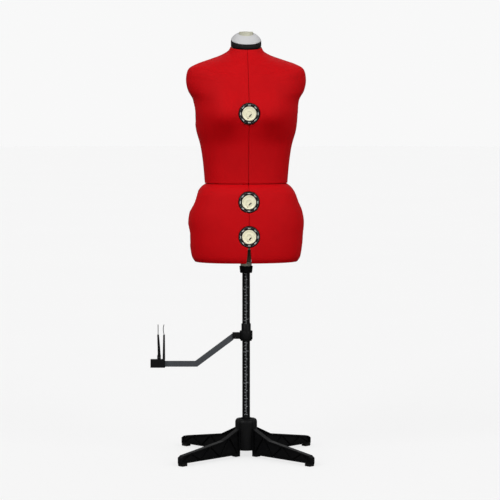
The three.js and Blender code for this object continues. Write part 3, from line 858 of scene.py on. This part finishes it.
def dial_shape(rod_end):
    """Ivory disc with a raised rim and a dished face, a raised dark bar of painted shade that stands for
    its slot, its arrow, and the drive behind.
    """
    near, far = PINION["near"], PINION["far"]
    face = [(0, 4.6), (21.2, 4.6), (22.1, 5.2), (22.35, 6.4), (22.1, 7.6), (21.3, 8.3), (20.2, 8.5),
            (19.2, 8.2), (18.4, 7.6), (16, 7.3), (10.5, 7.5), (9.6, 7.9), (8.4, 8.0), (7.6, 7.6),
            (7.1, 6.9), (0, 6.8)]
    shaft = [(0, near), (3.2, near), (3.2, 4.6), (0, 4.6)]
    rod = [(0, rod_end), (2.6, rod_end), (3, rod_end + 0.6), (3, far), (0, far)]
    shape = Shape().add(*lathe(face, 72))
    shape.add(*lathe(shaft, 20))
    shape.add(*prism(pinion_outline(), far, near))
    shape.add(*lathe(rod, 20))
    # The slot is drawn as a dark bar raised on the face; its colour is painted shade for the slot's hollow.
    slash = Matrix.Translation((3.2, -5.4, 0)) @ Matrix.Rotation(math.radians(45), 4, "Z")
    shape.add(*rounded_bar(11.5, 3.2, 6.7, 8.15), matrix=slash, number=1)
    arrow = [(-6.6, -13.4), (-4.4, -16.4), (-1.2, -14.2)]
    shape.add(*prism(arrow, 7.2, 7.62), number=2)
    return shape


def make_dials():
    for (level, side), matrix in STATIONS.items():
        low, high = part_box(f"{level}_{side}_dial")
        length = abs((Vector(high) - Vector(low)).dot(OUTWARD[side])) / MM
        bezel = bezel_shape()
        bezel.points = [matrix @ p for p in bezel.points]
        frame_body = f"{LEVELS[level]}_{side}"
        ring = bezel.make(f"{level}_{side}_bezel_ring", [BEZEL, MARKS], frame_body, "bezel_black")
        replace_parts(ring, f"{level}_{side}_bezel")
        dial = dial_shape(DISC_FRONT - length)
        dial.points = [matrix @ p for p in dial.points]
        node = f"{level}_{side}_dial"
        wheel = dial.make(f"{node}_wheel", [IVORY, PAINTED_SLOT_SHADE, ARROW], node, "dial_ivory")
        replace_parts(wheel, node)


# ---------- neck ----------

NECK = {"a": 47.8, "front": 44, "back": 48, "bottom": 1302.8, "top": 1322,
        "low_slope": 0.2, "top_slope": 0.34, "wall": 3, "floor": 3, "bore": 8}
# How far the band's outside stands out at shares of its height, which rounds its edges.
BAND_EDGE = ((-0.9, 0.0), (-0.2, 0.05), (0.2, 0.12), (0.3, 0.5), (0.2, 0.88), (-0.2, 0.95), (-0.9, 1.0))
SKIRT = {"outer": 8, "inner": 10, "drop": 7}   # short wall under the band, inside the covers
CAP = {"hole": 22.6, "rim": 47.2, "top": 1344.6, "thick": 2.6, "lip": 1, "well": 8, "crown": 3.2}
KNOB_FLUTES = {"count": 40, "depth": 0.45}


def oval(a, front, back, height, slope, count=96):
    """Row of points round the neck, with its own front and back depths, rising towards the back."""
    row = []
    for j in range(count):
        angle = 2 * math.pi * j / count
        y = math.sin(angle) * (front if math.sin(angle) < 0 else back)
        row.append((a * math.cos(angle), y, height + slope * y))
    return row


def ring_loft(rows):
    """Closed ring-shaped skin over rows of points."""
    points = [p for row in rows for p in row]
    return points, tube_faces(len(rows), len(rows[0]), closed=True)


def make_neck_band():
    """Trim band with a floor that has a bore in the middle, and a skirt below it."""
    n = NECK
    wall, floor, bore = n["wall"], n["floor"], n["bore"]
    rows = []
    for grow, share in BAND_EDGE:
        height = n["bottom"] + (n["top"] - n["bottom"]) * share
        slope = n["low_slope"] + (n["top_slope"] - n["low_slope"]) * share
        rows.append(oval(n["a"] + grow, n["front"] + grow, n["back"] + grow, height, slope))
    inner = (n["a"] - wall, n["front"] - wall, n["back"] - wall)
    rows.append(oval(*inner, n["top"], n["top_slope"]))
    rows.append(oval(*inner, n["bottom"] + floor, n["low_slope"]))
    rows.append(oval(bore, bore, bore, n["bottom"] + floor, n["low_slope"]))
    rows.append(oval(bore, bore, bore, n["bottom"], n["low_slope"]))
    inside, outside, drop = SKIRT["inner"], SKIRT["outer"], SKIRT["drop"]
    for inset, down in ((inside, 0), (inside, drop), (outside, drop), (outside, 0)):
        sizes = (n["a"] - inset, n["front"] - inset, n["back"] - inset)
        rows.append(oval(*sizes, n["bottom"] - down, n["low_slope"]))
    shape = Shape().add(*ring_loft(rows))
    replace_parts(shape.make("neck_band_trim", [TRIM], "upper_frame", "neck_trim", 50), "neck_band")


def make_neck_cap():
    """Dome tilted with the neck band, with a rolled rim and a round well for the knob."""
    hole, rim, top, thick = CAP["hole"], CAP["rim"], CAP["top"], CAP["thick"]
    front, back = NECK["front"] + CAP["lip"], NECK["back"] + CAP["lip"]
    base, slope = NECK["top"] + thick, NECK["top_slope"]

    def crown(share):
        return base + (top - base) * (1 - share ** CAP["crown"])

    def row(share, drop):
        return oval(rim * share, front * share, back * share, crown(share) - drop, slope)

    def well_row(radius, depth):
        return oval(radius, radius, radius, crown(hole / rim) - depth, slope)

    low = (hole + 1.2) / rim
    shares = [1 - (1 - low) * (i / 14) for i in range(15)]
    outside = [row(1, 1.6), row(1.004, 0.8)] + [row(s, 0) for s in shares[1:]]
    well = [well_row(hole + 0.6, 0.1), well_row(hole, 0.7), well_row(hole, CAP["well"])]
    inside = [row(s, thick) for s in reversed(shares[2:])]
    shape = Shape().add(*ring_loft([row(0.985, 2.0)] + outside + well + inside))
    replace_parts(shape.make("neck_dome", [GREY], "upper_frame", "grey_plastic", 50), "neck_cap")


def make_neck_knob():
    """Thick knob with a fluted grip."""
    bottom, top = ends_of("neck_knob")
    radius = radius_of("neck_knob")

    def flutes(angle, r, height):
        grip = r > radius - 0.8 and top - 14.5 < height < top - 1.6
        depth = KNOB_FLUTES["depth"] * (0.5 + 0.5 * math.cos(KNOB_FLUTES["count"] * angle))
        return r - (depth if grip else 0)

    profile = [(0, bottom), (5, bottom), (5, top - 16), (radius - 1.2, top - 16), (radius, top - 14.8),
               (radius, top - 14.4), (radius, top - 8), (radius, top - 1.7), (radius - 0.3, top - 1.0),
               (radius - 1.2, top - 0.3), (radius - 2.6, top), (15, top - 0.1), (14, top - 0.5),
               (0, top - 0.4)]
    shape = Shape().add(*lathe(profile, 240, flutes))
    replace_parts(shape.make("neck_dial_knob", [KNOB], "neck_knob", "ivory_plastic"), "neck_knob")


# ---------- pole and its fittings ----------

POLE_FRONT = -math.pi / 2 + STAND_TURN
POLE_BORE = 10.8
POLE_CHAMFER = 0.8
PRINT_LIFT = 0.06        # the print stands this far off the tube
SCALE = {"foot": 110, "head": 20, "line": 0.55, "numeral": 4.2}
# Marks beside the scale's line: side (-1 is the left), pitch, half thickness, length, length of
# every so-many-th mark, and which marks have a numeral and how far that is from the line.
CENTIMETRES = {"side": -1, "pitch": 10.0, "half": 0.9, "reach": 5.2, "long": 6.4, "long_every": 5,
               "numbered": 10, "numeral_at": 9.0}
INCHES = {"side": 1, "pitch": 25.4, "half": 1.1, "reach": 4.2, "long": 4.2, "long_every": 1,
          "numbered": 4, "numeral_at": 7.2}
NUT_FLUTES = {"count": 20, "depth": 0.8}
# Grooves in the hub's cap: depth, half width, the height that they start from, and the radius
# inside which the cap is plain.
HUB = {"groove": 3.6, "groove_half": 4.0, "groove_foot": 94, "plain_radius": 20}


def wrapped_text(text, height, radius, angle, z):
    """Numeral bent round the pole, as points and faces in millimetres."""
    data = bpy.data.curves.new("numeral", "FONT")
    data.body = text
    data.size = height
    data.align_x = "CENTER"
    data.align_y = "CENTER"
    data.resolution_u = 3
    source = link_object("numeral", data)
    mesh = source.to_mesh()
    points = []
    for vert in mesh.vertices:
        a = angle + vert.co.x / radius
        points.append((radius * math.cos(a), radius * math.sin(a), z + vert.co.y))
    faces = [tuple(p.vertices) for p in mesh.polygons]
    source.to_mesh_clear()
    bpy.data.objects.remove(source)
    return points, faces


def make_pole():
    bottom, top = ends_of("pole_tube")
    radius = radius_of("pole_tube")
    profile = [(POLE_BORE, bottom), (radius, bottom), (radius, top - POLE_CHAMFER),
               (radius - POLE_CHAMFER, top), (POLE_BORE, top)]
    shape = Shape().add(*lathe(profile, 64))
    tube = shape.make("pole", [TUBE], "stand", "pole_black")
    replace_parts(tube, "pole_tube")
    make_scale(radius + PRINT_LIFT, bottom + SCALE["foot"], top - SCALE["head"])


def add_marks(shape, radius, start, end, marks):
    """Marks and numerals on one side of the scale's line."""
    near = marks["side"] * SCALE["line"] / radius
    for i in range(int((end - start) / marks["pitch"]) + 1):
        z = start + i * marks["pitch"]
        reach = marks["long"] if i % marks["long_every"] == 0 else marks["reach"]
        left, right = sorted((near, marks["side"] * reach / radius))
        low, high = z - marks["half"], z + marks["half"]
        shape.add(*arc_patch(radius, POLE_FRONT + left, POLE_FRONT + right, low, high))
        if i and i % marks["numbered"] == 0:
            angle = POLE_FRONT + marks["side"] * marks["numeral_at"] / radius
            shape.add(*wrapped_text(str(i), SCALE["numeral"], radius, angle, z))


def make_scale(radius, start, end):
    """Printed scale: centimetres on the left of a line, inches on the right, with numerals."""
    shape = Shape()
    line = SCALE["line"] / radius
    shape.add(*arc_patch(radius, POLE_FRONT - line, POLE_FRONT + line, start, end, 2))
    for marks in (CENTIMETRES, INCHES):
        add_marks(shape, radius, start, end, marks)
    shape.make("pole_scale", [PRINT], "stand", "pole_black")


def make_lock_nut():
    """Tapered nut with a fluted grip below its collar."""
    bottom, top = ends_of("lock_nut")
    radius = radius_of("lock_nut")

    def flutes(angle, r, height):
        grip = r > 18.5 and height < top - 3.2
        depth = NUT_FLUTES["depth"] * (0.5 + 0.5 * math.cos(NUT_FLUTES["count"] * angle)) ** 2
        return r - (depth if grip else 0)

    profile = [(16, bottom), (18.4, bottom), (19, bottom + 0.8), (19.6, bottom + 5), (20.4, bottom + 11),
               (radius - 0.5, top - 5), (radius - 0.2, top - 3.4), (radius, top - 3), (radius, top - 0.7),
               (radius - 0.6, top), (16, top)]
    shape = Shape().add(*lathe(profile, 160, flutes))
    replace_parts(shape.make("lock_nut_grip", [BLACK], "lock_nut", "black_plastic"), "lock_nut")


def make_lock_collar():
    bottom, top = ends_of("lock_collar")
    radius = radius_of("lock_collar")
    profile = [(12.8, bottom), (15.5, bottom), (15.5, top - 12), (17.4, top - 12), (17.8, top - 11.6),
               (17.8, top - 4.4), (21, top - 4), (radius, top - 3.2), (radius, top - 0.6),
               (radius - 0.6, top), (12.8, top)]
    shape = Shape().add(*lathe(profile, 72))
    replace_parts(shape.make("lock_collar_ring", [KNOB], "lock_collar", "ivory_plastic"), "lock_collar")


def make_hub():
    """Hub with a rounded cap dished round the pole, grooved above each leg."""
    bottom, top = ends_of("base_hub")

    def grooves(angle, r, height):
        if height < HUB["groove_foot"] or r < HUB["plain_radius"]:
            return r
        away = (angle - STAND_TURN) % (math.pi / 2) - math.pi / 4
        across = min(abs(away) * r / HUB["groove_half"], 1.0)
        return r - HUB["groove"] * math.sqrt(1 - across * across)

    profile = [(12.7, 24.4), (12.7, top - 9), (14, top - 8), (17, top - 4.2), (20, top - 1.9),
               (23, top - 0.4), (26, top), (28.6, top - 0.3), (31, top - 1.7), (32.8, top - 3.8),
               (34.2, top - 7), (34.9, top - 10.4), (35, top - 14), (35, 93), (35, 24), (34.6, 22),
               (33.6, bottom), (4, bottom), (4, 24.4)]
    shape = Shape().add(*lathe(profile, 256, grooves))
    shape.add(*lathe([(0, bottom + 0.2), (4.05, bottom + 0.2), (4.05, 24.2), (0, 24.2)], 24))
    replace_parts(shape.make("base_hub_moulding", [BLACK], "stand", "black_plastic", 50), "base_hub")


# ---------- hem marker ----------

SCREW_Z = 388
BOSS_TURN = Matrix.Translation((0, 0, SCREW_Z)) @ Matrix.Rotation(math.radians(-90), 4, "X")
BOSS_FRAME = STAND_MATRIX @ BOSS_TURN    # Z runs along the thumbscrew, away from the pole
STUB = ((-43.5, -8, 376), (-18.6, 8, 396.5))   # corners of the bracket's stub for the arm
# Each wire's body, its distance from the pole's axis and its bow.
WIRES = {
    "marker_inner_wire": ("marker_slider", -261, -2.6),
    "marker_outer_wire": ("marker_outer_jaw", -280.3, 0.2),
}


def soft_box(low, high, radius, segments=3):
    """Box between two corners in millimetres with rounded edges, as points and faces."""
    work = bmesh.new()
    bmesh.ops.create_cube(work, size=1.0)
    size = Vector(high) - Vector(low)
    centre = (Vector(high) + Vector(low)) / 2
    for vert in work.verts:
        vert.co = Vector(c * d for c, d in zip(vert.co, size)) + centre
    bmesh.ops.bevel(work, geom=work.edges[:], offset=radius, segments=segments, affect="EDGES", profile=0.5)
    work.verts.index_update()
    points = [tuple(v.co) for v in work.verts]
    faces = [tuple(v.index for v in f.verts) for f in work.faces]
    work.free()
    return points, faces


def make_marker_bush():
    bottom, top = ends_of("marker_bush")
    profile = [(12.8, bottom), (17.6, bottom), (18, bottom + 0.4), (18, bottom + 3), (17.6, bottom + 3.4),
               (15, bottom + 3.5), (15, top - 1.4), (14.6, top - 0.4), (13.8, top), (12.8, top)]
    shape = Shape().add(*lathe(profile, 72))
    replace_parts(shape.make("marker_bush_sleeve", [BLACK], "marker_bush", "black_plastic"), "marker_bush")


def make_marker_bracket():
    """Ring round the bush, its square stub for the arm and its boss for the thumbscrew."""
    bottom, top = ends_of("marker_bracket")
    ring = [(15.4, bottom), (19.3, bottom), (20.2, bottom + 0.5), (20.5, bottom + 1.4), (20.5, top - 1.4),
            (20.2, top - 0.5), (19.3, top), (15.4, top)]
    boss = [(3.3, 19.5), (7, 19.5), (7, 24.6), (6.5, 25.3), (5.8, 25.5), (3.3, 25.5)]
    shape = Shape().add(*lathe(ring, 96), matrix=STAND_MATRIX)
    shape.add(*soft_box(*STUB, 1.2), matrix=STAND_MATRIX)
    shape.add(*lathe(boss, 40), matrix=BOSS_FRAME)
    piece = shape.make("marker_bracket_moulding", [BLACK], "marker_bracket", "black_plastic")
    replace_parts(piece, "marker_bracket")


def make_thumbscrew():
    """Screw with a round head and two rounded wings."""
    stem = [(0, 15.8), (2.9, 15.8), (2.9, 25.9), (8.4, 25.9), (9, 26.6), (9, 33.4), (8.2, 35.6),
            (6.4, 37.4), (5, 37.9), (0, 37.9)]
    shape = Shape().add(*lathe(stem, 48), matrix=BOSS_FRAME)
    for side in (-1, 1):
        near, far = sorted((side * 6.5, side * 15))
        wing = soft_box((near, -1.8, 28), (far, 1.8, 37), 1.2)
        shape.add(*wing, matrix=BOSS_FRAME)
    piece = shape.make("marker_thumbscrew_wings", [BLACK], "marker_thumbscrew", "black_plastic")
    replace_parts(piece, "marker_thumbscrew")


def make_wire(name, body, foot_x, bow, radius=1.2, count=40, segments=16):
    """Round wire with rounded ends that bows by a distance in the marker's plane."""
    foot, top = ends_of(name)
    points = []
    for i in range(count + 1):
        share = i / count
        x = foot_x + bow * 4 * share * (1 - share)
        end = min(min(share, 1 - share) * (top - foot) / radius, 1.0)
        r = radius * math.sqrt(max(1 - (1 - end) ** 2, 0.02))
        for j in range(segments):
            angle = 2 * math.pi * j / segments
            points.append((x + r * math.cos(angle), r * math.sin(angle), foot + (top - foot) * share))
    last = count * segments
    ends = [tuple(range(segments))[::-1], tuple(range(last, last + segments))]
    shape = Shape().add(points, ends + tube_faces(count + 1, segments), matrix=STAND_MATRIX)
    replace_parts(shape.make(f"{name}_guide", [WIRE], body, "wire_metal", 50), name)


# ---------- kept CAD nodes ----------

def finish_node(name, material, bevel=0.0):
    """Gives a kept CAD node its material, and softens its edges."""
    node = bpy.data.objects[name]
    node.data.materials.clear()
    node.data.materials.append(material)
    if bevel:
        flat = node.modifiers.new("flat_faces", "DECIMATE")
        flat.decimate_type = "DISSOLVE"
        flat.angle_limit = math.radians(1)
        modifier = node.modifiers.new("edges", "BEVEL")
        modifier.width = bevel * MM
        modifier.segments = 2
        modifier.limit_method = "ANGLE"
        modifier.angle_limit = math.radians(35)
    smooth = node.modifiers.new("shading", "WEIGHTED_NORMAL")
    smooth.keep_sharp = True


def finish_kept_nodes():
    for corner in ("front_left", "front_right", "back_left", "back_right"):
        finish_node(f"leg_{corner}", BLACK, 1.0)
        finish_node(f"foot_pad_{corner}", RUBBER, 0.5)
        for section in ("upper", "lower"):
            # Panels and masts take the shell colour, darkened as painted shade for the inside of the form.
            finish_node(f"{section}_panel_{corner}", SHADED_SHELL)
    finish_node("lower_mast", SHADED_SHELL)
    finish_node("upper_mast", SHADED_SHELL)
    for name in ("marker_slider", "marker_inner_jaw", "marker_outer_jaw"):
        finish_node(name, BLACK, 0.6)
    finish_node("marker_arm", ARM, 0.6)
    finish_node("marker_jaw_pin", WIRE)


make_camera()
make_light()
make_floor()
make_backdrop()
make_covers()
make_dials()
make_neck_band()
make_neck_cap()
make_neck_knob()
make_pole()
make_lock_nut()
make_lock_collar()
make_hub()
make_marker_bush()
make_marker_bracket()
make_thumbscrew()
for wire, (rider, distance, bow) in WIRES.items():
    make_wire(wire, rider, distance, bow)
finish_kept_nodes()
